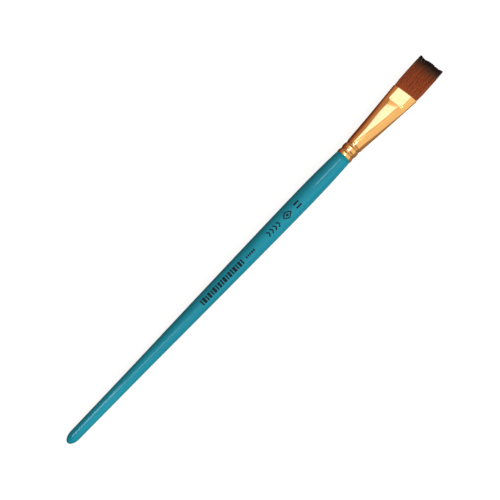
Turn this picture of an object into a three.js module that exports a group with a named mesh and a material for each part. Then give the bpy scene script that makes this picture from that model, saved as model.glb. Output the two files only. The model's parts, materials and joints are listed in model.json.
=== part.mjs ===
// A long-handled flat paint brush lying on its side on a table.
// Every piece is drawn along the brush's own axis: x runs from the tail of the handle to the tips
// of the hair, y runs across the flat, z is the flat's normal. The whole brush is then tipped by
// the small angle at which it balances on its belly, and moved to the row's origin.
import * as THREE from "three";

// Lengths along the axis, mm
const BRUSH_LENGTH = 305;
const HAIR_OUT = 23;
const FERRULE_LENGTH = 51.5;
const MOUTH = BRUSH_LENGTH - HAIR_OUT;
const FERRULE_BACK = MOUTH - FERRULE_LENGTH;
const PAD_LENGTH = 8.6;
const CREASE = MOUTH - PAD_LENGTH;
const TENON_LENGTH = 20;
const GLUE_LENGTH = 8;
const ROOT_LENGTH = 19;

// Gap left between two pieces that touch, mm
const GAP = 0.3;

// Handle, mm
const TAIL_CAP = 6.4;
const TAIL_RADIUS = 3.44;
const SHOULDER = FERRULE_BACK - GAP;
const SHOULDER_RADIUS = 4.93;
const TENON_CHAMFER = 1.2;
const TENON_TAPER = 0.75;
const HANDLE_SIDES = 24;
const CAP_RINGS = 6;

// The stretch of the belly that lies under the brush's balance point, and so on the table
const REST_FACET = [new THREE.Vector2(150, 5.28), new THREE.Vector2(190, 5.68)];

// Ferrule, mm: a crimped round tube that runs into a pressed flat mouth
const TUBE_RADIUS = 5.1;
const WALL = 0.4;
const FERRULE_SIDES = 40;
const CRIMP_RINGS = 14;
const PRESS_RINGS = 6;
const CONE_START = FERRULE_BACK + 10;
const CRIMPS = [FERRULE_BACK + 3.2, FERRULE_BACK + 7.8];
const CRIMP_DEPTH = 0.31;
const CRIMP_HALF_LENGTH = 1.8;
const MOUTH_HALF_WIDTH = 8.5;
const PAD_HALF_WIDTH = 4.9;
const PAD_HALF_THICKNESS = 2.4;
const FACET_SWELL = 1.3;

// Hair, mm
const LOCKS = 7;
const HINGE_OUT = 2.1;
const LOCK_HALF_THICKNESS = HINGE_OUT - GAP;
const TIP_HALF_THICKNESS = 0.4;
const TUFT_BASE_HALF_WIDTH = 8.3;
const TUFT_TIP_HALF_WIDTH = 8.15;
const TUFT_LEAN = THREE.MathUtils.degToRad(2.5);
const LOCK_TRIMS = [0, 0.7, 0.35, 0.15, 0.2, 0.65, 0.1];
const LOCK_BASE_STEPS = 10;

const lerp = THREE.MathUtils.lerp;
const clamp = THREE.MathUtils.clamp;

function material(colour, roughness, metalness) {
  return new THREE.MeshStandardMaterial({ color: colour, roughness, metalness });
}

function named(name, geometry, surface) {
  const mesh = new THREE.Mesh(geometry, surface);
  mesh.name = name;
  return mesh;
}

// A body of revolution about the x axis, from an outline of points (x along the axis, y = radius).
// A facet, not an edge, faces straight down, so that a round piece can lie on it.
function turned(outline, sides) {
  const profile = outline.map((point) => new THREE.Vector2(point.y, point.x));
  const geometry = new THREE.LatheGeometry(profile, sides, Math.PI / sides);
  return geometry.rotateZ(-Math.PI / 2);
}

// Quarter ellipse from the tip of the tail to the start of the taper
function tailCap() {
  const arc = new THREE.EllipseCurve(TAIL_CAP, 0, TAIL_CAP, TAIL_RADIUS, Math.PI, Math.PI / 2, true);
  return arc.getPoints(CAP_RINGS);
}

// Slim tail, a belly that is thickest some 35 mm behind the ferrule, then a short neck
function taper() {
  return [
    new THREE.Vector2(TAIL_CAP, TAIL_RADIUS),
    new THREE.Vector2(60, 4.0),
    new THREE.Vector2(106, 4.69),
    ...REST_FACET,
    new THREE.Vector2(202, 5.7),
    new THREE.Vector2(212, 5.59),
    new THREE.Vector2(222, 5.28),
    new THREE.Vector2(SHOULDER, SHOULDER_RADIUS),
  ];
}

// Tube radius along the round end of the ferrule, with its two rolled crimps
function crimpedRadius(x) {
  const bites = CRIMPS.map((centre) => {
    const away = Math.min(Math.abs(x - centre) / CRIMP_HALF_LENGTH, 1);
    return (CRIMP_DEPTH * (1 + Math.cos(Math.PI * away))) / 2;
  });
  return TUBE_RADIUS - Math.max(...bites);
}

// Evenly spaced stations from one end to the other
function stations(from, to, steps) {
  return Array.from({ length: steps + 1 }, (_, i) => lerp(from, to, i / steps));
}

// Tenon of the handle inside the ferrule, waisted where the crimps bite. It tapers towards its
// end, where the tube around it is already a little flattened.
function tenon() {
  const end = SHOULDER + TENON_LENGTH;
  const inside = (x) => crimpedRadius(x) - WALL - GAP;
  const full = inside(CONE_START);
  return [
    ...stations(SHOULDER, CONE_START, CRIMP_RINGS).map((x) => new THREE.Vector2(x, inside(x))),
    new THREE.Vector2(end - TENON_CHAMFER, full - TENON_TAPER),
    new THREE.Vector2(end, full - TENON_TAPER - TENON_CHAMFER),
    new THREE.Vector2(end, 0),
  ];
}

function handle() {
  const outline = [...tailCap(), ...taper().slice(1), ...tenon()];
  return named("handle", turned(outline, HANDLE_SIDES), material(0x1f8fa8, 0.3, 0.0));
}

// How far the press has gone at x: 0 on the round tube, 1 from the crease to the mouth
function pressed(x) {
  return clamp((x - CONE_START) / (CREASE - CONE_START), 0, 1);
}

// Half-width of the flat between the two rounded sides
function flatHalfWidth(x) {
  return PAD_HALF_WIDTH * pressed(x);
}

// Half-width of the whole section: straight from the tube to the mouth
function halfWidth(x) {
  return lerp(TUBE_RADIUS, MOUTH_HALF_WIDTH, clamp((x - CONE_START) / (MOUTH - CONE_START), 0, 1));
}

// Half-thickness: the facet bows down to the pad, which is parallel to the axis
function halfThickness(x) {
  return lerp(TUBE_RADIUS, PAD_HALF_THICKNESS, pressed(x) ** FACET_SWELL);
}

// Presses a turned body flat. A point on the axis stays there; any other keeps its distance from
// the tube's outer surface, so that the wall keeps its thickness.
function press(geometry) {
  const place = geometry.attributes.position;
  for (let i = 0; i < place.count; i += 1) {
    const x = place.getX(i);
    const radius = Math.hypot(place.getY(i), place.getZ(i));
    if (radius < 1e-6) continue;
    const across = place.getY(i) / radius;
    const up = place.getZ(i) / radius;
    const sideReach = radius + halfWidth(x) - flatHalfWidth(x) - TUBE_RADIUS;
    const height = radius + halfThickness(x) - TUBE_RADIUS;
    place.setY(i, sideReach * across + flatHalfWidth(x) * Math.sign(across));
    place.setZ(i, height * up);
  }
  geometry.computeVertexNormals();
  return geometry;
}

// The pressed part of the ferrule, and what fills it, has a ring at both ends and at each of
// these stations between them
function pressStations(from, to) {
  const bow = stations(CONE_START, CREASE, PRESS_RINGS);
  return [from, ...bow.filter((x) => x > from && x < to), to];
}

function ferrule() {
  const crimped = stations(FERRULE_BACK, CONE_START, CRIMP_RINGS);
  const flattened = pressStations(CONE_START, MOUTH).slice(1);
  const outer = [
    ...crimped.map((x) => new THREE.Vector2(x, crimpedRadius(x))),
    ...flattened.map((x) => new THREE.Vector2(x, TUBE_RADIUS)),
  ];
  const inner = outer.map((point) => new THREE.Vector2(point.x, point.y - WALL)).reverse();
  const outline = [...outer, ...inner, outer[0]];
  const tube = press(turned(outline, FERRULE_SIDES));
  return named("ferrule", tube, material(0xe0a23c, 0.22, 1.0));
}

// A plug that fills the ferrule from one station to another, clear of the wall
function filling(from, to) {
  const radius = TUBE_RADIUS - WALL - GAP;
  const side = pressStations(from, to).map((x) => new THREE.Vector2(x, radius));
  const outline = [new THREE.Vector2(from, 0), ...side, new THREE.Vector2(to, 0)];
  return press(turned(outline, FERRULE_SIDES));
}

// Hardened glue around the butts of the hair
function gluePlug() {
  const front = MOUTH - GAP - ROOT_LENGTH - GAP;
  return named("glue_plug", filling(front - GLUE_LENGTH, front), material(0x8a6a3a, 0.35, 0.0));
}

// The part of the hair that the ferrule grips
function hairRoots() {
  const front = MOUTH - GAP;
  return named("hair_roots", filling(front - ROOT_LENGTH, front), material(0x7a3418, 0.6, 0.0));
}

// Half-thickness of the tuft at a distance y from its middle: full over the flat, less at the
// rounded sides
function tuftHalfThickness(y) {
  const beyond = clamp((Math.abs(y) - PAD_HALF_WIDTH) / (MOUTH_HALF_WIDTH - PAD_HALF_WIDTH), 0, 1);
  return LOCK_HALF_THICKNESS * Math.sqrt(1 - beyond ** 2);
}

// One lock of hair: a round base about the axis on which the tuft bends, then a long wedge
function hairLock(index) {
  const pitch = (2 * TUFT_BASE_HALF_WIDTH + GAP) / LOCKS;
  const centre = (index - (LOCKS - 1) / 2) * pitch;
  const base = tuftHalfThickness(centre);
  const length = HAIR_OUT - HINGE_OUT - LOCK_TRIMS[index];
  const outline = new THREE.Shape();
  outline.absarc(0, 0, base, Math.PI / 2, (3 * Math.PI) / 2, false);
  outline.lineTo(length, -TIP_HALF_THICKNESS);
  outline.lineTo(length, TIP_HALF_THICKNESS);
  const lock = new THREE.ExtrudeGeometry(outline, {
    depth: pitch - GAP,
    bevelEnabled: false,
    curveSegments: LOCK_BASE_STEPS,
  });
  lock.rotateX(Math.PI / 2);
  lock.translate(MOUTH + HINGE_OUT, centre + (pitch - GAP) / 2, 0);
  return named(`hair_lock_${index + 1}`, lean(lock), material(0x8c3d1e, 0.55, 0.0));
}

// The tuft narrows a little towards its tip and leans to one side of the flat
function lean(geometry) {
  const place = geometry.attributes.position;
  for (let i = 0; i < place.count; i += 1) {
    const out = place.getX(i) - MOUTH;
    const narrowing = lerp(1, TUFT_TIP_HALF_WIDTH / TUFT_BASE_HALF_WIDTH, out / HAIR_OUT);
    place.setY(i, place.getY(i) * narrowing + out * Math.tan(TUFT_LEAN));
  }
  geometry.computeVertexNormals();
  return geometry;
}

// Slope of the underside of the belly where it lies on the table, on the facets that face down
function restAngle() {
  const [back, front] = REST_FACET;
  const rise = (front.y - back.y) * Math.cos(Math.PI / HANDLE_SIDES);
  return Math.atan(rise / (front.x - back.x));
}

const brush = new THREE.Group();
brush.add(handle(), ferrule(), gluePlug(), hairRoots());
for (let i = 0; i < LOCKS; i += 1) {
  brush.add(hairLock(i));
}
brush.rotation.y = -restAngle();
const bounds = new THREE.Box3().setFromObject(brush, true);
brush.position.set(-(bounds.min.x + bounds.max.x) / 2, 0, -bounds.min.z);

export default brush;
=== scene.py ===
"""The looks of a long-handled flat paint brush that lies on a table.

Shapes are worked out in the brush's own axes, in millimetres: along from the tail of the handle
to the tips of the hair, across the flat, and up out of the flat. place() turns them into metres
in the row frame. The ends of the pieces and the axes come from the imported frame.
"""

import json
import math

import bpy
import numpy as np
from mathutils import Matrix, Vector


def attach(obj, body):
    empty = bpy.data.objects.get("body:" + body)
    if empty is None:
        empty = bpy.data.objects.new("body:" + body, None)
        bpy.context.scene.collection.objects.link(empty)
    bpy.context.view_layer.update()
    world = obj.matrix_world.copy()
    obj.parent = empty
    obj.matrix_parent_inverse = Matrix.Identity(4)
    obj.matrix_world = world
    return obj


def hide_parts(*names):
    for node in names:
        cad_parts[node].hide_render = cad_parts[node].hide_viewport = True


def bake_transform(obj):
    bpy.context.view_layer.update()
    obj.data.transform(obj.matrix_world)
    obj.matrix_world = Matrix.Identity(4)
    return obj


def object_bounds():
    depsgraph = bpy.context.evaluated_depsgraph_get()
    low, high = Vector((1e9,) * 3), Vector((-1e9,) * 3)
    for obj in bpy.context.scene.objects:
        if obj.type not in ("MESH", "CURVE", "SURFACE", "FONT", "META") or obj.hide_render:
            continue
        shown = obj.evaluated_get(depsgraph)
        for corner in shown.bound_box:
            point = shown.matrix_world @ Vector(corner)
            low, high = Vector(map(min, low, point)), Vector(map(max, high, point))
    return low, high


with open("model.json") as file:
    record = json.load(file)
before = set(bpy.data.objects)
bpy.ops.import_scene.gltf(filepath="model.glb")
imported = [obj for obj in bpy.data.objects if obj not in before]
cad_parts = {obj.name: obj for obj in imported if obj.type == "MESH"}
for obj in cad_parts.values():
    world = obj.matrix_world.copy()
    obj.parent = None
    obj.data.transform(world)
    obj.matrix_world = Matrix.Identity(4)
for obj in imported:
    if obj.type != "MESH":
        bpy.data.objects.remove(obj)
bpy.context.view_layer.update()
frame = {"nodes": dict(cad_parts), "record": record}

MM = 0.001
WHITE = (1, 1, 1)

# ---------------------------------------------------------------- the brush's own axes

mounts = {mount["name"]: mount for mount in frame["record"]["mounts"]}
ALONG = np.array(mounts["grip"]["axis"])
UP = np.array(mounts["pad_upper"]["axis"])
ACROSS = np.cross(UP, ALONG)
AXES = np.array([ALONG, ACROSS, UP])
GRIP = np.array(mounts["grip"]["pos_m"])


def mesh_points(thing):
    """The vertices of an object's mesh, in metres in the row frame."""
    return np.array([vertex.co for vertex in thing.data.vertices], float)


TAIL = GRIP + ALONG * ((mesh_points(frame["nodes"]["handle"]) - GRIP) @ ALONG).min()


def in_brush(points):
    """Points in the row frame, in metres, as points in the brush's own axes, in mm."""
    return (points - TAIL) @ AXES.T / MM


def place(points):
    """Points in the brush's own axes, in mm, as points in the row frame, in metres."""
    return TAIL + np.asarray(points, float) @ AXES * MM


def brush_points(node):
    """The vertices of a CAD node in the brush's own axes, in mm."""
    return in_brush(mesh_points(frame["nodes"][node]))


LOCK_NODES = sorted(name for name in frame["nodes"] if name.startswith("hair_lock_"))
LOCK_PLACES = [brush_points(name) for name in LOCK_NODES]
FERRULE_BACK = brush_points("ferrule")[:, 0].min()
MOUTH = brush_points("ferrule")[:, 0].max()
TIP = max(points[:, 0].max() for points in LOCK_PLACES)
ROOTS_BACK = brush_points("hair_roots")[:, 0].min()
TENON_END = brush_points("handle")[:, 0].max()

# ---------------------------------------------------------------- sizes, mm

# Handle
TAIL_CAP = 6.4
SHOULDER_LIP = 0.4
TENON_CHAMFER = 1.2
TENON_TAPER = 0.75
TENON_ROUNDING = (0.3, 0.4)
HANDLE_SIDES = 128
CAP_RINGS = 20
TAPER_RINGS = 90
LIP_RINGS = 9
TENON_RINGS = 40
HANDLE_STRIPS = 4

# Ferrule: a crimped tube, pressed flat. The facet ends at CONE_EDGE, and on the pad at PAD_EDGE.
TUBE_RADIUS = 5.1
WALL = 0.4
FIT = 0.03
LIP_ROOM = 0.25
CONE_START = FERRULE_BACK + 10
CRIMPS = (FERRULE_BACK + 3.2, FERRULE_BACK + 7.8)
CRIMP_DEPTH = 0.42
CRIMP_HALF_LENGTH = 1.7
CREASE = MOUTH - 8.6
CREASE_START = CREASE - 0.4
CREASE_END = CREASE + 0.8
MOUTH_HALF_WIDTH = 8.5
PAD_HALF_THICKNESS = 2.4
CONE_EDGE = 3.7
PAD_EDGE = 4.66
FERRULE_SIDES = 192
LIP_POINTS = 9

# Shape of the press: the share of a ring's half-width that the facet takes on the round tube, how
# the facet's edge and its height grow along the cone, and the swell in front of the crease
FACET_SHARE = 0.25
EDGE_SWELL = 1.4
FACET_SWELL = 1.3
CREASE_SWELL = 0.1
SWELL_LENGTH = 3.6
SWELL_FADE = (-0.6, 1.0)

# The head is pressed a little askew, and a hair's breadth to one side
SKEW = math.tan(math.radians(2.8))
DRIFT = 0.2
DRIFT_END = CREASE - 16

# Tuft
LEAN = math.tan(math.radians(2.5))
TIP_STRAIGHTENING = 0.5
HAIR_BACK = MOUTH - 2.5
TUFT_HALF_WIDTH = 7.97
TUFT_BULGE = 0.42
TUFT_NARROWING = 0.12
TUFT_HALF_THICKNESS = 1.88
TUFT_PLUMPNESS = 0.12
EDGE_HALF_THICKNESS = 0.4
LONGEST_HAIR = 0.9
COLOUR_END = TIP + 0.5

# Filaments
HAIR_PER_LOCK = 430
HAIR_RINGS = 13
HAIR_SIDES = 3
HAIR_RADIUS = 0.078
HAIR_THINNING = 0.72
HAIR_SEED = 160

# How the filaments lie, in shares of the tuft's half-width and half-thickness: most in a shell,
# the others in the middle, and all drawn to clumps. Trims and shortfalls are in mm.
SHELL_SHARE = 0.6
SHELL_DEPTH = 0.28
MIDDLE_REACH = 0.85
CLUMPS = 5
CLUMP_REACH = 0.8
CLUMP_PULL = 0.42
CLUMP_TRIM = 0.22
HAIR_TRIM = 0.25
SHORT_SHARE = 0.12
SHORTFALL = (0.8, 4.0)
WANDER = 0.022
WAVE = 0.008
STRAY_SHARE = 0.02
STRAY = 0.35
MOUTH_REACH = 0.97

# Core and roots
CORE_END = TIP - 3.2
CORE_RINGS = 26
CORE_SIDES = 120
CORE_WIDTH = 0.955
CORE_THICKNESS = 0.78
ROOT_FIT = 0.1
ROOT_RINGS = 24
ROOT_RIDGES = 60
ROOT_RIDGE_DEPTH = 0.05

# Print
PRINT_ANGLE = math.radians(-15.3)
INK_LIFT = 0.018
INK_STEP = 0.4

# The UV map that the pieces carry: the columns that the hair is coloured by, the length of
# core, in mm, that each of its flat ends gets, and the shares of the ferrule's outside, mouth lip,
# inside and back lip
BAKE_UV = "OFBake"
HAIR_COLUMNS = 64
CORE_COLUMNS = 240
CORE_CAP_MARGIN = 0.026
FERRULE_UV_SHARES = (0.84, 0.02, 0.12, 0.02)


def lerp(a, b, t):
    return a + (b - a) * t


def ease(x, low, high):
    """0 up to low, 1 from high on, and a smooth step between."""
    t = np.clip((np.asarray(x, float) - low) / (high - low), 0, 1)
    return t * t * (3 - 2 * t)


# ---------------------------------------------------------------- making meshes


def make_piece(name, points, faces, material, uvs=None):
    """A smooth-shaded mesh from points in the brush's axes. uvs holds one pair for each corner."""
    mesh = bpy.data.meshes.new(name)
    mesh.from_pydata(place(points).tolist(), [], faces)
    if uvs is not None:
        layer = mesh.uv_layers.new(name=BAKE_UV)
        layer.data.foreach_set("uv", np.asarray(uvs, np.float32).ravel())
    mesh.polygons.foreach_set("use_smooth", [True] * len(mesh.polygons))
    mesh.materials.append(material)
    mesh.update()
    piece = bpy.data.objects.new(name, mesh)
    bpy.context.scene.collection.objects.link(piece)
    return piece


def round_section(along, radius, angle):
    return [along, radius * np.cos(angle), radius * np.sin(angle)]


def make_rings(profile, sides, section):
    """The points of a body's rings, and each ring as a list of their numbers."""
    angles = np.arange(sides) * 2 * math.pi / sides
    points, rings = [], []
    closed = profile[-1] == profile[0]
    for along, radius in profile[:-1] if closed else profile:
        if radius < 1e-6:
            rings.append([len(points)] * sides)
            points.append([along, 0, 0])
        else:
            rings.append(list(range(len(points), len(points) + sides)))
            points.extend(section(along, radius, angle) for angle in angles)
    if closed:
        rings.append(rings[0])
    return points, rings


def revolve(name, profile, sides, material, section=round_section, strips=1, heights=None):
    """A closed body around the axis, through the rings of profile, pairs of (along, radius).

    A ring of no radius is one point, and a profile that ends where it starts joins up there.
    section gives the place of a ring's point at an angle. The UV map is unrolled in strips side
    by side, each a stretch of the profile. heights says how far up the map each ring lies, and
    without it the rings lie as far apart as in the profile.
    """
    points, rings = make_rings(profile, sides, section)
    if heights is None:
        steps = np.hypot(*np.diff(np.array(profile), axis=0).T)
        heights = np.concatenate([[0], np.cumsum(steps)]) / steps.sum()
    ends = [int(np.searchsorted(heights, k / strips)) for k in range(strips)]
    ends.append(len(heights) - 1)
    faces, uvs = [], []
    for k in range(strips):
        low, high = heights[ends[k]], heights[ends[k + 1]]
        for row in range(ends[k], ends[k + 1]):
            here, ahead = rings[row], rings[row + 1]
            v0 = (heights[row] - low) / (high - low)
            v1 = (heights[row + 1] - low) / (high - low)
            for i in range(sides):
                j = (i + 1) % sides
                u0, u1 = (k + i / sides) / strips, (k + (i + 1) / sides) / strips
                corners = [
                    (here[i], u0, v0),
                    (here[j], u1, v0),
                    (ahead[j], u1, v1),
                    (ahead[i], u0, v1),
                ]
                if here[i] == here[j]:
                    corners.pop(1)
                elif ahead[i] == ahead[j]:
                    corners.pop(2)
                faces.append([corner[0] for corner in corners])
                uvs.extend(corner[1:] for corner in corners)
    return make_piece(name, points, faces, material, uvs)


# ---------------------------------------------------------------- materials


def fill_ramp(ramp, stops):
    """Sets a colour ramp to stops, pairs of (position, colour or grey)."""
    while len(ramp.elements) < len(stops):
        ramp.elements.new(0.5)
    for element, (position, colour) in zip(ramp.elements, stops):
        element.position = position
        element.color = (*colour, 1) if isinstance(colour, tuple) else (colour, colour, colour, 1)


class Surface:
    """One Principled material and the nodes that feed it.

    constants are set on the shader's own sockets, whose names have _ in place of each space.
    """

    def __init__(self, name, **constants):
        self.material = bpy.data.materials.new(name)
        self.material.use_nodes = True
        self.tree = self.material.node_tree
        self.shader = self.tree.nodes["Principled BSDF"]
        for socket, value in constants.items():
            self.shader.inputs[socket.replace("_", " ")].default_value = value

    def add(self, kind, inputs, **settings):
        """A node whose inputs are values or other nodes' outputs."""
        made = self.tree.nodes.new("ShaderNode" + kind)
        for setting, value in settings.items():
            setattr(made, setting, value)
        for socket, value in inputs.items():
            if isinstance(value, bpy.types.NodeSocket):
                self.tree.links.new(value, made.inputs[socket])
            else:
                made.inputs[socket].default_value = value
        return made

    def feed(self, socket, value):
        self.tree.links.new(value, self.shader.inputs[socket])

    def space(self, stretch):
        """Object coordinates, scaled along each axis of the row frame."""
        coordinates = self.add("TexCoord", {}).outputs["Object"]
        return self.add("Mapping", {0: coordinates, "Scale": stretch}).outputs[0]

    def strand_space(self, stretch):
        """The coordinates of the piece's own UV map, scaled."""
        coordinates = self.add("UVMap", {}, uv_map=BAKE_UV).outputs[0]
        return self.add("Mapping", {0: coordinates, "Scale": stretch}).outputs[0]

    def noise(self, vector, scale=1.0, detail=3.0):
        made = self.add("TexNoise", {"Vector": vector, "Scale": scale, "Detail": detail})
        return made.outputs["Fac"]

    def ramp(self, value, *stops):
        made = self.add("ValToRGB", {0: value})
        fill_ramp(made.color_ramp, stops)
        return made.outputs[0]

    def mix(self, share, a, b, mode="MIX"):
        return self.add("MixRGB", {0: share, 1: a, 2: b}, blend_type=mode).outputs[0]

    def maths(self, operation, a, b=0.0):
        return self.add("Math", {0: a, 1: b}, operation=operation).outputs[0]

    def bump(self, height, strength, distance, after=None):
        """A bumped normal, on top of another one where after is given. distance is in metres."""
        inputs = {"Height": height, "Strength": strength, "Distance": distance}
        if after is not None:
            inputs["Normal"] = after
        return self.add("Bump", inputs).outputs[0]


def lacquer():
    """Glossy teal lacquer over turned wood: clouded, grained along the handle, and dusty."""
    deep, bright = (0.003, 0.242, 0.335), (0.005, 0.285, 0.383)
    grain_colour, dust_colour = (0.0035, 0.207, 0.292, 1), (0.01, 0.13, 0.18, 1)
    made = Surface(
        "teal_lacquer",
        Coat_Weight=0.4,
        Coat_Roughness=0.06,
        Coat_IOR=1.5,
        Specular_IOR_Level=0.05,
    )
    grain = made.noise(made.space((14, 420, 420)), detail=5)
    clouds = made.noise(made.space((22, 60, 60)), detail=2)
    specks = made.add("TexVoronoi", {"Vector": made.space((1, 1, 1)), "Scale": 420.0})
    teal = made.ramp(clouds, (0.3, deep), (0.7, bright))
    grained = made.mix(made.ramp(grain, (0.35, 0.55), (0.65, 0.0)), teal, grain_colour)
    dust = made.ramp(specks.outputs["Distance"], (0.0, 0.35), (0.05, 0.0))
    made.feed("Base Color", made.mix(dust, grained, dust_colour))
    rub = made.noise(made.space((60, 240, 240)), detail=4)
    made.feed("Roughness", made.ramp(rub, (0.3, 0.3), (0.7, 0.44)))
    peel = made.noise(made.space((260, 420, 420)), detail=2)
    streaks = made.bump(grain, 0.05, 0.0001)
    made.feed("Normal", made.bump(peel, 0.05, 0.0001, streaks))
    made.feed("Coat Normal", made.bump(peel, 0.008, 0.0001))
    return made.material


def gold():
    """Gold-anodised aluminium, drawn along its length, rippled, and dull in its grooves, whose
    colour is darkened as painted shade.
    """
    deep, bright = (0.93, 0.46, 0.1), (1.0, 0.535, 0.135)
    # the second colour is painted shade for the crimps and the back rim
    streak_colour, groove_shade_colour = (0.87, 0.38, 0.07, 1), (0.5, 0.17, 0.05, 1)
    made = Surface(
        "gold_anodised",
        Metallic=1.0,
        Specular_Tint=(1.0, 0.62, 0.42, 1.0),
        IOR=1.5,
        Coat_Weight=0.9,
        Coat_IOR=1.7,
        Coat_Roughness=0.03,
    )
    drawn = made.noise(made.space((35, 1500, 1500)), detail=4)
    clouds = made.noise(made.space((110, 160, 160)), detail=3)
    colour = made.ramp(clouds, (0.3, deep), (0.7, bright))
    streaked = made.mix(made.ramp(drawn, (0.4, 0.22), (0.62, 0.0)), colour, streak_colour)
    # painted shade: towards the crimps and the back rim the colour is darkened to
    # groove_shade_colour, and the roughness also rises there
    groove_shade_and_dullness = made.add("Attribute", {}, attribute_name="groove").outputs["Fac"]
    made.feed("Base Color", made.mix(made.maths("MULTIPLY", groove_shade_and_dullness, 0.6), streaked, groove_shade_colour))
    rough = made.ramp(drawn, (0.3, 0.06), (0.7, 0.13))
    made.feed("Roughness", made.maths("ADD", rough, made.maths("MULTIPLY", groove_shade_and_dullness, 0.12)))
    ripples = made.bump(made.noise(made.space((210, 420, 420)), detail=1), 0.12, 0.00008)
    made.feed("Normal", made.bump(drawn, 0.03, 0.00005, ripples))
    return made.material


def hair_colours(made, along, column):
    """Brown hair whose tips were dipped in black, from 0 to 1 along, varied by column."""
    shade = made.add("TexWhiteNoise", {"W": column}, noise_dimensions="1D")
    other_column = made.maths("ADD", column, 91.0)
    tint = made.add("TexWhiteNoise", {"W": other_column}, noise_dimensions="1D")
    centred = made.maths("SUBTRACT", shade.outputs["Value"], 0.5)
    dipped = made.ramp(
        made.maths("ADD", along, made.maths("MULTIPLY", centred, 0.07)),
        (0.0, (0.5, 0.107, 0.024)),
        (0.3, (0.42, 0.084, 0.018)),
        (0.6, (0.355, 0.07, 0.014)),
        (0.72, (0.25, 0.056, 0.012)),
        (0.81, (0.125, 0.036, 0.011)),
        (0.9, (0.04, 0.018, 0.011)),
        (1.0, (0.015, 0.011, 0.01)),
    )
    brightness = made.ramp(tint.outputs["Value"], (0.0, 0.5), (0.5, 0.92), (1.0, 1.4))
    return made.mix(1.0, dipped, brightness, "MULTIPLY")


def coloured_hair(name, columns, **constants):
    """A hair surface, coloured along its UV map and by the column of it that a point lies in."""
    made = Surface(name, **constants)
    split = made.add("SeparateXYZ", {0: made.strand_space((1, 1, 1))})
    column = made.maths("FLOOR", made.maths("MULTIPLY", split.outputs[0], columns))
    made.feed("Base Color", hair_colours(made, split.outputs[1], column))
    return made


def hair():
    """Synthetic filaments. Each keeps to one column of the UV map."""
    made = coloured_hair(
        "hair_filament", HAIR_COLUMNS, Roughness=0.45, Specular_IOR_Level=0.2, IOR=1.5
    )
    return made.material


def packed_hair():
    """The mass of hair behind the outer filaments, streaked along its length."""
    made = coloured_hair("hair_mass", CORE_COLUMNS, Specular_IOR_Level=0.3, Roughness=0.6)
    ridges = made.noise(made.strand_space((260, 3, 1)), detail=2)
    made.feed("Normal", made.bump(ridges, 0.6, 0.0002))
    return made.material


def ink():
    """Black print, a little thin in places."""
    full, thin_colour = (0.004, 0.008, 0.012), (0.006, 0.02, 0.028)
    made = Surface("black_ink", Coat_Weight=0.15, Coat_Roughness=0.1, Specular_IOR_Level=0.1)
    thin = made.noise(made.space((1, 1, 1)), 1900.0)
    made.feed("Base Color", made.ramp(thin, (0.45, full), (0.75, thin_colour)))
    made.feed("Roughness", made.ramp(thin, (0.3, 0.3), (0.7, 0.5)))
    return made.material


def epoxy():
    """Hardened amber glue."""
    deep, bright = (0.2, 0.09, 0.025), (0.42, 0.24, 0.08)
    made = Surface("amber_glue", Specular_IOR_Level=0.5, Coat_Weight=0.3, Coat_Roughness=0.2)
    clouds = made.noise(made.space((1, 1, 1)), 420.0, 4)
    made.feed("Base Color", made.ramp(clouds, (0.3, deep), (0.7, bright)))
    made.feed("Roughness", made.ramp(clouds, (0.3, 0.25), (0.7, 0.5)))
    made.feed("Normal", made.bump(clouds, 0.4, 0.0002))
    return made.material


# ---------------------------------------------------------------- handle


def measure_taper():
    """Rings of the CAD handle from its tail to its shoulder, rows of (along, radius)."""
    radii = {}
    for x, y, z in brush_points("handle"):
        ring = round(x, 3)
        radii[ring] = max(radii.get(ring, 0), math.hypot(y, z))
    seen = [x for x in sorted(radii) if TAIL_CAP - 0.01 < x < FERRULE_BACK]
    return np.array([(x, radii[x]) for x in seen])


TAPER = measure_taper()
SLOPES = np.gradient(TAPER[:, 1], TAPER[:, 0])


def taper_radius(along):
    """The handle's radius from its tail to its shoulder: a smooth curve through the CAD rings."""
    k = int(np.clip(np.searchsorted(TAPER[:, 0], along) - 1, 0, len(TAPER) - 2))
    span = TAPER[k + 1, 0] - TAPER[k, 0]
    t = (along - TAPER[k, 0]) / span
    ends = TAPER[k : k + 2, 1] * [2 * t**3 - 3 * t**2 + 1, 3 * t**2 - 2 * t**3]
    pulls = SLOPES[k : k + 2] * span * [t**3 - 2 * t**2 + t, t**3 - t**2]
    return float(ends.sum() + pulls.sum())


def crimped_radius(along):
    """Outer radius of the round end of the ferrule, with its two rolled crimps."""
    away = min(abs(along - centre) for centre in CRIMPS) / CRIMP_HALF_LENGTH
    return TUBE_RADIUS - CRIMP_DEPTH * (1 + math.cos(math.pi * min(away, 1))) / 2


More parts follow.
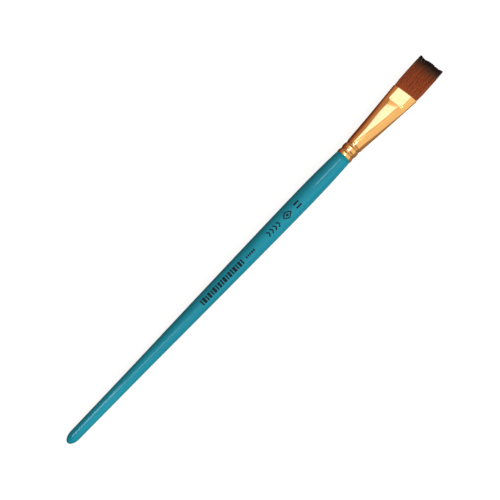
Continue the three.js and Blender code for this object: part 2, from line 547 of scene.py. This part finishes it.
def handle_profile():
    """Rounded tail, taper, a shoulder that rolls in under the ferrule, and the tenon inside it."""
    shoulder, shoulder_radius = TAPER[-1]
    lip_start = shoulder - SHOULDER_LIP
    tube = TUBE_RADIUS - WALL - FIT
    tenon = tube - TENON_TAPER
    bevel, dome = TENON_ROUNDING
    cap = [
        (TAIL_CAP * (1 - math.cos(a)), TAPER[0, 1] * math.sin(a))
        for a in np.linspace(0, math.pi / 2, CAP_RINGS)[:-1]
    ]
    taper = [(x, taper_radius(x)) for x in np.linspace(TAIL_CAP, lip_start, TAPER_RINGS)]
    lip = [
        (
            lerp(lip_start, FERRULE_BACK, 1 - math.cos(a)),
            lerp(tube, shoulder_radius, math.cos(a)),
        )
        for a in np.linspace(0, math.pi / 2, LIP_RINGS)[1:]
    ]
    inside = [
        (x, crimped_radius(x) - WALL - FIT)
        for x in np.linspace(FERRULE_BACK, CONE_START, TENON_RINGS)[1:]
    ]
    end = [
        (TENON_END - TENON_CHAMFER, tenon),
        (TENON_END - bevel, tenon - TENON_CHAMFER + bevel),
        (TENON_END, tenon - TENON_CHAMFER - dome),
        (TENON_END, 0.0),
    ]
    return cap + taper + lip + inside + end


# ---------------------------------------------------------------- ferrule


def pressed(along):
    """How far the press has gone: 0 on the round tube, 1 from the crease to the mouth."""
    return np.clip((along - CONE_START) / (CREASE - CONE_START), 0, 1)


def half_width(along):
    share = np.clip((along - CONE_START) / (MOUTH - CONE_START), 0, 1)
    return lerp(TUBE_RADIUS, MOUTH_HALF_WIDTH, share)


def half_thickness(along):
    return lerp(TUBE_RADIUS, PAD_HALF_THICKNESS, pressed(along) ** FACET_SWELL)


def off_axis(along, across):
    """A place of the head after its turn to one side, which fades towards the tips, and drift."""
    tip_share = 1 - TIP_STRAIGHTENING * ease(along, MOUTH, TIP)
    turned = along - SKEW * across * ease(along, CONE_START, CREASE) * tip_share
    return turned, across - DRIFT * ease(along, CONE_START, DRIFT_END)


def facet_edge(along):
    """How far from the middle the facet ends: growing on the cone, then a step wider."""
    on_cone = lerp(FACET_SHARE * TUBE_RADIUS, CONE_EDGE, pressed(along) ** EDGE_SWELL)
    return on_cone + (PAD_EDGE - CONE_EDGE) * ease(along, CREASE_START, CREASE_END)


def crease_swell(along, across, edge):
    """The metal that the press has pushed up in front of the pad, on the facet only."""
    fall = np.clip((along - CREASE + SWELL_LENGTH) / SWELL_LENGTH, 0, 1)
    rise = ease(along, CREASE - 3 * SWELL_LENGTH, CREASE - SWELL_LENGTH)
    fade_start, fade_end = SWELL_FADE
    on_facet = 1 - ease(abs(across), edge + fade_start, edge + fade_end)
    return CREASE_SWELL * rise * (1 - fall**2) * on_facet


def press_section(along, radius, angle):
    """A ring's point on the pressed tube, which keeps its distance from the outer surface.

    The facet takes up the points whose cosine is less than FACET_SHARE. The sides roll on from it.
    """
    edge = facet_edge(along)
    roll = (half_width(along) - edge) / (1 - FACET_SHARE)
    flat = half_width(along) - roll
    side, up = math.cos(angle), math.sin(angle)
    across = (radius - TUBE_RADIUS + roll) * side + flat * np.clip(side / FACET_SHARE, -1, 1)
    height = (radius - TUBE_RADIUS + half_thickness(along)) * up
    height += crease_swell(along, across, edge) * np.sign(up) * min(1, abs(up) * 3)
    return [*off_axis(along, across), height]


def ferrule_stations():
    """Where the ferrule's rings lie between its two lips, closest at the crimps and the crease."""
    stretches = (
        (FERRULE_BACK + 0.6, 1),
        (CONE_START, 43),
        (CREASE - 6, 29),
        (CREASE - 1.2, 11),
        (CREASE_END, 19),
        (MOUTH - LIP_ROOM, 13),
    )
    stations = [FERRULE_BACK + LIP_ROOM]
    for end, steps in stretches:
        stations.extend(np.linspace(stations[-1], end, steps + 1)[1:])
    return stations


def ferrule_profile():
    """Outer rings of the tube, its mouth's lip, its inner rings and its back lip."""
    lip = WALL / 2
    outer = [(x, crimped_radius(x)) for x in ferrule_stations()]
    inner = [(x, radius - WALL) for x, radius in reversed(outer)]
    turn = np.linspace(0, math.pi, LIP_POINTS)
    mouth_lip = [
        (MOUTH - lip + lip * math.sin(a), TUBE_RADIUS - lip + lip * math.cos(a)) for a in turn
    ]
    back_lip = [
        (FERRULE_BACK + lip - lip * math.sin(a), TUBE_RADIUS - lip - lip * math.cos(a))
        for a in turn
    ]
    return outer, mouth_lip, inner, back_lip


def groove_depth(along):
    """0 to 1: how deep in a crimp or at the back rim a place is, where the metal is rougher and
    painted shade darkens its colour.
    """
    crimp = (TUBE_RADIUS - crimped_radius(along)) / CRIMP_DEPTH if along < CONE_START else 0.0
    at_back = 1 - ease(along, FERRULE_BACK, FERRULE_BACK + 0.35)
    return float(max(crimp**3, at_back * 0.8))


def make_ferrule(material):
    """The tube. The outside gets most of its UV map, and each other stretch a narrow band of it."""
    stretches = ferrule_profile()
    profile = [ring for stretch in stretches for ring in stretch]
    profile.append(profile[0])
    shares = []
    for stretch, share in zip(stretches, FERRULE_UV_SHARES):
        shares += [share / len(stretch)] * len(stretch)
    heights = np.concatenate([[0], np.cumsum(shares)])
    piece = revolve("ferrule_shell", profile, FERRULE_SIDES, material, press_section, 1, heights)
    # the groove attribute drives painted shade in the crimps and at the back rim, and a rougher
    # finish there
    grooves = piece.data.attributes.new("groove", "FLOAT", "POINT")
    places = in_brush(mesh_points(piece))
    grooves.data.foreach_set("value", [groove_depth(along) for along in places[:, 0]])
    return piece


# ---------------------------------------------------------------- printed marks


def on_handle(along, across, lift):
    """A point over the handle's surface. across is measured round it, from the printed line."""
    radius = taper_radius(along)
    angle = PRINT_ANGLE + across / radius
    return [along, (radius + lift) * math.sin(angle), (radius + lift) * math.cos(angle)]


class Print:
    """Thin closed patches of ink that follow the handle."""

    def __init__(self):
        self.points = []
        self.faces = []

    def sheet(self, grid):
        """A patch over grid, rows of (along, across), lifted on top and sunk a little below."""
        rows, columns = len(grid), len(grid[0])
        start = len(self.points)
        for lift in (INK_LIFT, -INK_LIFT):
            self.points.extend(on_handle(x, y, lift) for row in grid for x, y in row)
        top = start + np.arange(rows * columns).reshape(rows, columns)
        below = top + rows * columns
        for r in range(rows - 1):
            for c in range(columns - 1):
                quad = [(r, c), (r + 1, c), (r + 1, c + 1), (r, c + 1)]
                self.faces.append([int(top[corner]) for corner in quad])
                self.faces.append([int(below[corner]) for corner in reversed(quad)])
        rim = [(0, c) for c in range(columns - 1)]
        rim += [(r, columns - 1) for r in range(rows - 1)]
        rim += [(rows - 1, c) for c in range(columns - 1, 0, -1)]
        rim += [(r, 0) for r in range(rows - 1, 0, -1)]
        for one, two in zip(rim, rim[1:] + rim[:1]):
            side = (top[one], top[two], below[two], below[one])
            self.faces.append([int(point) for point in side])

    def quad(self, a, b, c, d):
        """A four-cornered patch. The corners run round it."""
        a, b, c, d = (np.array(corner, float) for corner in (a, b, c, d))
        across = max(2, int(np.linalg.norm(b - a) / INK_STEP) + 1)
        down = max(2, int(np.linalg.norm(d - a) / INK_STEP) + 1)
        grid = []
        for v in np.linspace(0, 1, down + 1):
            row = [lerp(lerp(a, b, u), lerp(d, c, u), v) for u in np.linspace(0, 1, across + 1)]
            grid.append([tuple(point) for point in row])
        self.sheet(grid)

    def bar(self, along, length, across, width):
        """A rectangle centred at (along, across)."""
        x0, x1 = along - length / 2, along + length / 2
        y0, y1 = across - width / 2, across + width / 2
        self.quad((x0, y0), (x0, y1), (x1, y1), (x1, y0))

    def stroke(self, start, end, width):
        """A straight line of ink from start to end."""
        start, end = np.array(start, float), np.array(end, float)
        side = np.array([-(end - start)[1], (end - start)[0]])
        side *= width / 2 / np.linalg.norm(side)
        self.quad(start - side, start + side, end + side, end - side)

    def diamond(self, along, across, length, width):
        """A solid diamond. length and width run from its middle to its corners."""
        x, y = along, across
        self.quad((x - length, y), (x, y + width), (x + length, y), (x, y - width))

    def finish(self, name, material):
        return make_piece(name, self.points, self.faces, material)


def two_bars(along, apart, length, width):
    mark = Print()
    for across in (-apart / 2, apart / 2):
        mark.bar(along, length, across, width)
    return mark


def diamond_ring(along, length, width, thickness):
    """A diamond's outline with a dot. length and width run from its middle to its corners."""
    mark = Print()
    corners = [(along + length, 0), (along, width), (along - length, 0), (along, -width)]
    for start, end in zip(corners, corners[1:] + corners[:1]):
        mark.stroke(start, end, thickness)
    mark.diamond(along, 0, 1.2, 0.9)
    return mark


def chevrons(along, count, pitch, thickness):
    """Arrowheads in a row towards the tail, the first at along. Each is two strokes."""
    mark = Print()
    for k in range(count):
        x = along - pitch * k
        for side in (-1, 1):
            mark.stroke((x - 1.0, 1.75 * side), (x + 0.25, -0.1 * side), thickness)
    return mark


def row_of_diamonds(along, across, count, pitch, length, width):
    mark = Print()
    for k in range(count):
        mark.diamond(along - pitch * k, across, length, width)
    return mark


def row_of_bars(along, count, pitch, lengths, width):
    """Bars in a row towards the tail, whose lengths along the handle repeat."""
    mark = Print()
    for k in range(count):
        mark.bar(along - pitch * k, lengths[k % len(lengths)], 0, width)
    return mark


def make_marks(material):
    """Plain shapes along the handle where a printed size, badge, word, number and bars would be."""
    marks = {
        "size": two_bars(191.7, apart=2.5, length=3.9, width=1.0),
        "badge": diamond_ring(183.2, length=3.1, width=2.1, thickness=0.7),
        "word": chevrons(176.4, count=4, pitch=2.65, thickness=0.8),
        "number": row_of_diamonds(155.6, -0.1, count=5, pitch=1.5, length=0.68, width=0.95),
        "bars": row_of_bars(146.0, count=17, pitch=2.06, lengths=(1.0, 1.6, 0.9, 1.75), width=3.4),
    }
    return [mark.finish("printed_" + name, material) for name, mark in marks.items()]


# ---------------------------------------------------------------- hair


def tuft_half_width(out):
    """Half-width of the tuft at a distance out of the mouth."""
    return TUFT_HALF_WIDTH + TUFT_BULGE * ease(out, 0, 5) - TUFT_NARROWING * ease(out, 8, 23)


def tuft_half_thickness(out):
    """The tuft is a wedge: as thick as the mouth lets it be, and thin at its edge."""
    share = np.clip(out / (TIP - MOUTH), 0, 1)
    wedge = lerp(TUFT_HALF_THICKNESS, EDGE_HALF_THICKNESS, share**1.2)
    return wedge + TUFT_PLUMPNESS * ease(out, 0, 2) * (1 - share)


def round_end(a):
    """The share of the thickness that the tuft has at a, from -1 to 1 across, to fill the mouth."""
    edge = PAD_EDGE - FACET_SHARE * WALL
    beyond = (np.abs(a) * TUFT_HALF_WIDTH - edge) / (MOUTH_HALF_WIDTH - WALL - edge)
    side = np.where(beyond < 0, FACET_SHARE * (1 + beyond), lerp(FACET_SHARE, 1, beyond))
    return np.sqrt(1 - np.clip(side, 0, 0.98) ** 2)


def in_tuft(along, a, b):
    """A point of the tuft. a and b run from -1 to 1 across it and through it."""
    out = along - MOUTH
    across = a * tuft_half_width(out) + LEAN * np.maximum(out, 0)
    up = b * tuft_half_thickness(out) * round_end(a)
    return np.stack([*off_axis(along, across), up], -1)


def measure_lock_ends():
    """Where each CAD lock lies across the tuft, from -1 to 1, and where it ends."""
    centres = np.array([(p[:, 1].min() + p[:, 1].max()) / 2 for p in LOCK_PLACES])
    ends = np.array([p[:, 0].max() for p in LOCK_PLACES])
    lean_at_middle = LEAN * (TIP - MOUTH) / 2
    return (centres - lean_at_middle) / tuft_half_width(0), ends


EDGE_PLACES, LOCK_ENDS = measure_lock_ends()


def edge_of_tuft(a):
    """Where the longest tips end, across the tuft: the ends of the CAD locks, joined."""
    return np.interp(a, EDGE_PLACES, LOCK_ENDS) + LONGEST_HAIR


def lock_paths(index, draw):
    """The centre lines of one lock's filaments, and how thick each is along them.

    Most filaments are in the outer shell of the tuft. They gather in clumps towards their tips,
    and some end short of the others or stray.
    """
    pitch = 2 / len(LOCK_NODES)
    low = -1 + index * pitch
    count = HAIR_PER_LOCK
    a = low + pitch * draw.rand(count)
    shell = draw.rand(count) < SHELL_SHARE
    skin = np.sign(draw.rand(count) - 0.5) * (1 - SHELL_DEPTH * draw.rand(count) ** 1.5)
    b = np.where(shell, skin, draw.uniform(-MIDDLE_REACH, MIDDLE_REACH, count))
    clumps_a = low + pitch * (np.arange(CLUMPS) + draw.rand(CLUMPS)) / CLUMPS
    clumps_b = draw.uniform(-CLUMP_REACH, CLUMP_REACH, CLUMPS)
    apart = np.abs(a[:, None] - clumps_a) + 0.12 * np.abs(b[:, None] - clumps_b)
    near = np.argmin(apart, axis=1)
    clump_trim = np.abs(draw.normal(0, CLUMP_TRIM, CLUMPS))
    ends = edge_of_tuft(a) - clump_trim[near] - np.abs(draw.normal(0, HAIR_TRIM, count))
    ends -= np.where(draw.rand(count) < SHORT_SHARE, draw.uniform(*SHORTFALL, count), 0)
    wander = draw.normal(0, WANDER, (count, 2))
    phase = draw.uniform(0, 2 * math.pi, count)
    stray = np.where(draw.rand(count) < STRAY_SHARE, draw.normal(0, STRAY, count), 0)

    share = np.linspace(0, 1, HAIR_RINGS) ** 0.9
    along = HAIR_BACK + (ends - HAIR_BACK)[:, None] * share
    late = ease(share, 0.45, 1.0)
    pull = CLUMP_PULL * late
    wave = WAVE * np.sin(share * 5 + phase[:, None])
    a_path = lerp(a[:, None], clumps_a[near][:, None], pull)
    a_path = a_path + wander[:, :1] * ease(share, 0.15, 1.0) + wave
    b_path = lerp(b[:, None], clumps_b[near][:, None], pull * 0.5)
    b_path = b_path + wander[:, 1:] * 3 * ease(share, 0.3, 1.0) + stray[:, None] * late**2
    inside = along < MOUTH + 0.6
    b_path = np.where(inside, np.clip(b_path, -MOUTH_REACH, MOUTH_REACH), b_path)
    centre = in_tuft(along, a_path, b_path)
    thinning = 1 - HAIR_THINNING * ease(share, 0.72, 1.0)
    thick = HAIR_RADIUS * draw.uniform(0.8, 1.2, count)[:, None] * thinning
    return centre, thick


def filament_faces(k, column, heights):
    """The faces and UVs of the lock's filament number k, a closed tube in one UV column."""
    first = k * HAIR_RINGS * HAIR_SIDES
    last = first + (HAIR_RINGS - 1) * HAIR_SIDES
    u0, u1 = (column + 0.1) / HAIR_COLUMNS, (column + 0.9) / HAIR_COLUMNS
    faces, uvs = [], []
    for row in range(HAIR_RINGS - 1):
        v0, v1 = heights[row], heights[row + 1]
        low = first + row * HAIR_SIDES
        high = low + HAIR_SIDES
        for i in range(HAIR_SIDES):
            j = (i + 1) % HAIR_SIDES
            faces.append([low + i, low + j, high + j, high + i])
            uvs.extend([(u0, v0), (u1, v0), (u1, v1), (u0, v1)])
    faces.append([first + i for i in reversed(range(HAIR_SIDES))])
    faces.append([last + i for i in range(HAIR_SIDES)])
    for v in (heights[0], heights[-1]):
        uvs.extend([(u0, v), (u1, v), (u1, v + 0.002)])
    return faces, uvs


def lock_mesh(index, material):
    """One lock of hair, of closed three-sided filaments."""
    draw = np.random.RandomState(HAIR_SEED + index)
    centre, thick = lock_paths(index, draw)
    count = len(centre)
    turn = draw.uniform(0, 2 * math.pi, count)
    corner = turn[:, None] + np.arange(HAIR_SIDES) * 2 * math.pi / HAIR_SIDES
    ring = np.stack([np.zeros_like(corner), np.cos(corner), np.sin(corner)], -1)
    points = centre[:, :, None, :] + thick[:, :, None, None] * ring[:, None]
    column = draw.randint(0, HAIR_COLUMNS, count)
    heights = (centre[:, :, 0] - HAIR_BACK) / (COLOUR_END - HAIR_BACK)
    faces, uvs = [], []
    for k in range(count):
        more_faces, more_uvs = filament_faces(k, column[k], heights[k])
        faces += more_faces
        uvs += more_uvs
    return make_piece(f"hair_{index + 1}", points.reshape(-1, 3), faces, material, uvs)


def make_core(material):
    """The dense middle of the tuft, closed at both ends, which shuts out the light."""
    rings = [(x, 1.0) for x in np.linspace(HAIR_BACK, CORE_END, CORE_RINGS)]
    profile = [(HAIR_BACK, 0.0), *rings, (CORE_END, 0.0)]

    def section(along, radius, angle):
        side, up = math.cos(angle), math.sin(angle)
        a = np.sign(side) * abs(side) ** 0.5 * CORE_WIDTH
        b = np.sign(up) * abs(up) ** 0.7 * CORE_THICKNESS
        return in_tuft(np.float64(along), a, b).tolist()

    heights = np.array([along for along, _ in profile])
    heights[0] -= CORE_CAP_MARGIN
    heights[-1] += CORE_CAP_MARGIN
    return revolve("hair_core", profile, CORE_SIDES, material, section, heights=heights)


def make_roots(material):
    """The bundle of hair that the ferrule grips, with the ridges of its outer filaments."""
    reach = TUBE_RADIUS - WALL - ROOT_FIT
    profile = [
        (ROOTS_BACK, 0.0),
        (ROOTS_BACK, reach - 0.5),
        *[(x, reach) for x in np.linspace(ROOTS_BACK + 0.4, HAIR_BACK - 0.05, ROOT_RINGS)],
        (HAIR_BACK, reach - 0.4),
        (HAIR_BACK, 0.0),
    ]

    def section(along, radius, angle):
        ridged = radius - ROOT_RIDGE_DEPTH * abs(math.sin(angle * ROOT_RIDGES))
        return press_section(along, ridged, angle)

    return revolve("hair_root_bundle", profile, FERRULE_SIDES * 3, material, section)


# ---------------------------------------------------------------- the pieces

teal, metal, black = lacquer(), gold(), ink()
strand, mass, amber = hair(), packed_hair(), epoxy()

handle = revolve(
    "handle_lacquered", handle_profile(), HANDLE_SIDES, teal, strips=HANDLE_STRIPS
)
ferrule = make_ferrule(metal)
marks = make_marks(black)
roots = make_roots(mass)
core = make_core(mass)
locks = [lock_mesh(index, strand) for index in range(len(LOCK_NODES))]

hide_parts("handle")
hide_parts("ferrule")
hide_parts("hair_roots")
for piece, node in zip(locks, LOCK_NODES):
    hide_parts(node)
frame["nodes"]["glue_plug"].data.materials.clear()
frame["nodes"]["glue_plug"].data.materials.append(amber)
for piece in (handle, ferrule, roots, *marks):
    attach(piece, "brush")
for piece in (core, *locks):
    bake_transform(piece)

# ---------------------------------------------------------------- camera and floor

# Metres
CAMERA_DISTANCE = 0.44
CAMERA_AIM = Vector((0.00145, 0.00168, 0.005))
FLOOR_REACH = 30


def make_camera():
    """Looks down on the brush from over its side, turned so that the brush lies diagonally."""
    sideways, pitch, roll = (math.radians(angle) for angle in (16.51, -0.74, 44.14))
    level = math.cos(pitch)
    back = Vector((math.sin(pitch), -math.sin(sideways) * level, math.cos(sideways) * level))
    head = (Vector((1, 0, 0)) - back * back.x).normalized()
    left = back.cross(head)
    top = head * math.cos(roll) + left * math.sin(roll)
    right = top.cross(back)
    camera = bpy.data.objects.new("camera", bpy.data.cameras.new("camera"))
    bpy.context.scene.collection.objects.link(camera)
    turn = Matrix((right, top, back)).transposed().to_4x4()
    camera.matrix_world = Matrix.Translation(CAMERA_AIM + back * CAMERA_DISTANCE) @ turn
    camera.data.lens = 54.45
    camera.data.sensor_width = 36
    camera.data.clip_start = 0.01
    bpy.context.scene.camera = camera


def make_floor():
    """A pale light table, which throws no light back on the brush."""
    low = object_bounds()[0].z
    signs = ((-1, -1), (1, -1), (1, 1), (-1, 1))
    corners = [(x * FLOOR_REACH, y * FLOOR_REACH, low) for x, y in signs]
    mesh = bpy.data.meshes.new("floor")
    mesh.from_pydata(corners, [], [(0, 1, 2, 3)])
    pale = Surface(
        "pale_floor",
        Base_Color=(0.25, 0.25, 0.25, 1),
        Roughness=0.9,
        Specular_IOR_Level=0.0,
        Emission_Color=(*WHITE, 1),
        Emission_Strength=0.87,
    )
    mesh.materials.append(pale.material)
    floor = bpy.data.objects.new("floor", mesh)
    bpy.context.scene.collection.objects.link(floor)
    floor.visible_glossy = False
    floor.visible_diffuse = False


# ---------------------------------------------------------------- light

COOL = (0.8, 0.97, 1.3)
PALE = (0.85, 0.95, 2.2)

# The light of the tent from each way: from the brush's right, at 0, to its left, at 1; from
# straight down to straight up; and from the tail's end to the head's
SIDE_LIGHT = (
    (0.0, (0.95, 0.95, 0.93)),
    (0.42, (1.0, 1.0, 0.98)),
    (0.53, (0.6, 0.59, 0.57)),
    (0.68, (0.5, 0.42, 0.36)),
    (0.89, (0.48, 0.32, 0.25)),
    (0.94, (0.38, 0.22, 0.16)),
    (0.985, (0.24, 0.07, 0.04)),
)
HEIGHT_LIGHT = (
    (0.0, (0.32, 0.26, 0.22)),
    (0.42, (0.42, 0.34, 0.3)),
    (0.52, WHITE),
)
LENGTH_LIGHT = (
    (0.29, (0.35, 0.27, 0.22)),
    (0.36, WHITE),
    (0.78, WHITE),
    (0.88, (0.4, 0.34, 0.3)),
)


def make_lamp(name, centre, size, radiance, colour=WHITE, tilt=0.0, spin=0.0, mirrored=True):
    """A soft box of size (along the brush, across it), in metres, that faces down.

    It is tilted about its length and then spun about the vertical, in degrees. A mirrored one is
    only seen in shiny surfaces, and any other one only lights dull surfaces.
    """
    light = bpy.data.lights.new(name, "AREA")
    light.shape = "RECTANGLE"
    light.size, light.size_y = size
    light.energy = radiance * math.pi * size[0] * size[1]
    light.color = colour
    lamp = bpy.data.objects.new(name, light)
    lamp.location = centre
    lamp.rotation_euler = (math.radians(tilt), 0, math.radians(spin))
    lamp.visible_glossy = mirrored
    lamp.visible_diffuse = not mirrored
    bpy.context.scene.collection.objects.link(lamp)


def make_world():
    """A light tent: pale to the right of the brush, dim and warm to its left and underneath.

    Behind the floor's edge the camera sees plain white.
    """
    world = bpy.data.worlds.new("studio")
    world.use_nodes = True
    bpy.context.scene.world = world
    nodes, links = world.node_tree.nodes, world.node_tree.links
    way = nodes.new("ShaderNodeTexCoord")
    split = nodes.new("ShaderNodeSeparateXYZ")
    links.new(way.outputs["Generated"], split.inputs[0])
    light = None
    for axis, stops in (("X", LENGTH_LIGHT), ("Y", SIDE_LIGHT), ("Z", HEIGHT_LIGHT)):
        remap = nodes.new("ShaderNodeMapRange")
        remap.inputs["From Min"].default_value = -1
        ramp = nodes.new("ShaderNodeValToRGB")
        fill_ramp(ramp.color_ramp, stops)
        links.new(split.outputs[axis], remap.inputs[0])
        links.new(remap.outputs[0], ramp.inputs[0])
        if light is None:
            light = ramp.outputs[0]
        else:
            product = nodes.new("ShaderNodeMixRGB")
            product.blend_type = "MULTIPLY"
            product.inputs[0].default_value = 1
            links.new(light, product.inputs[1])
            links.new(ramp.outputs[0], product.inputs[2])
            light = product.outputs[0]
    tent = nodes["Background"]
    links.new(light, tent.inputs["Color"])
    backdrop = nodes.new("ShaderNodeBackground")
    backdrop.inputs["Color"].default_value = (*WHITE, 1)
    path = nodes.new("ShaderNodeLightPath")
    choose = nodes.new("ShaderNodeMixShader")
    links.new(path.outputs["Is Camera Ray"], choose.inputs[0])
    links.new(tent.outputs[0], choose.inputs[1])
    links.new(backdrop.outputs[0], choose.inputs[2])
    links.new(choose.outputs[0], nodes["World Output"].inputs["Surface"])


make_camera()
make_floor()
make_lamp("neck_box", (0.2475, -0.13, 0.9), (0.145, 0.22), 7.5, COOL)
make_lamp("head_box", (0.45, 0.27, 0.9), (0.31, 0.38), 1.05, PALE, spin=22)
make_lamp("glow_box", (0.5, 0.28, 1.0), (0.7, 0.42), 0.45)
make_lamp("tail_box", (-0.29, -0.24, 0.9), (0.36, 0.1), 6.0, COOL, spin=-63)
make_lamp("tip_box", (-0.47, 0.1, 0.9), (0.22, 0.46), 8.0, COOL)
make_lamp("side_box", (0.0, -1.05, 0.8), (1.6, 1.0), 2.4, tilt=52.7, mirrored=False)
make_lamp("fill_box", (0.0, 1.0, 0.35), (1.6, 0.6), 0.55, tilt=-70.7, mirrored=False)
make_world()
bpy.context.scene.view_settings.view_transform = "Standard"
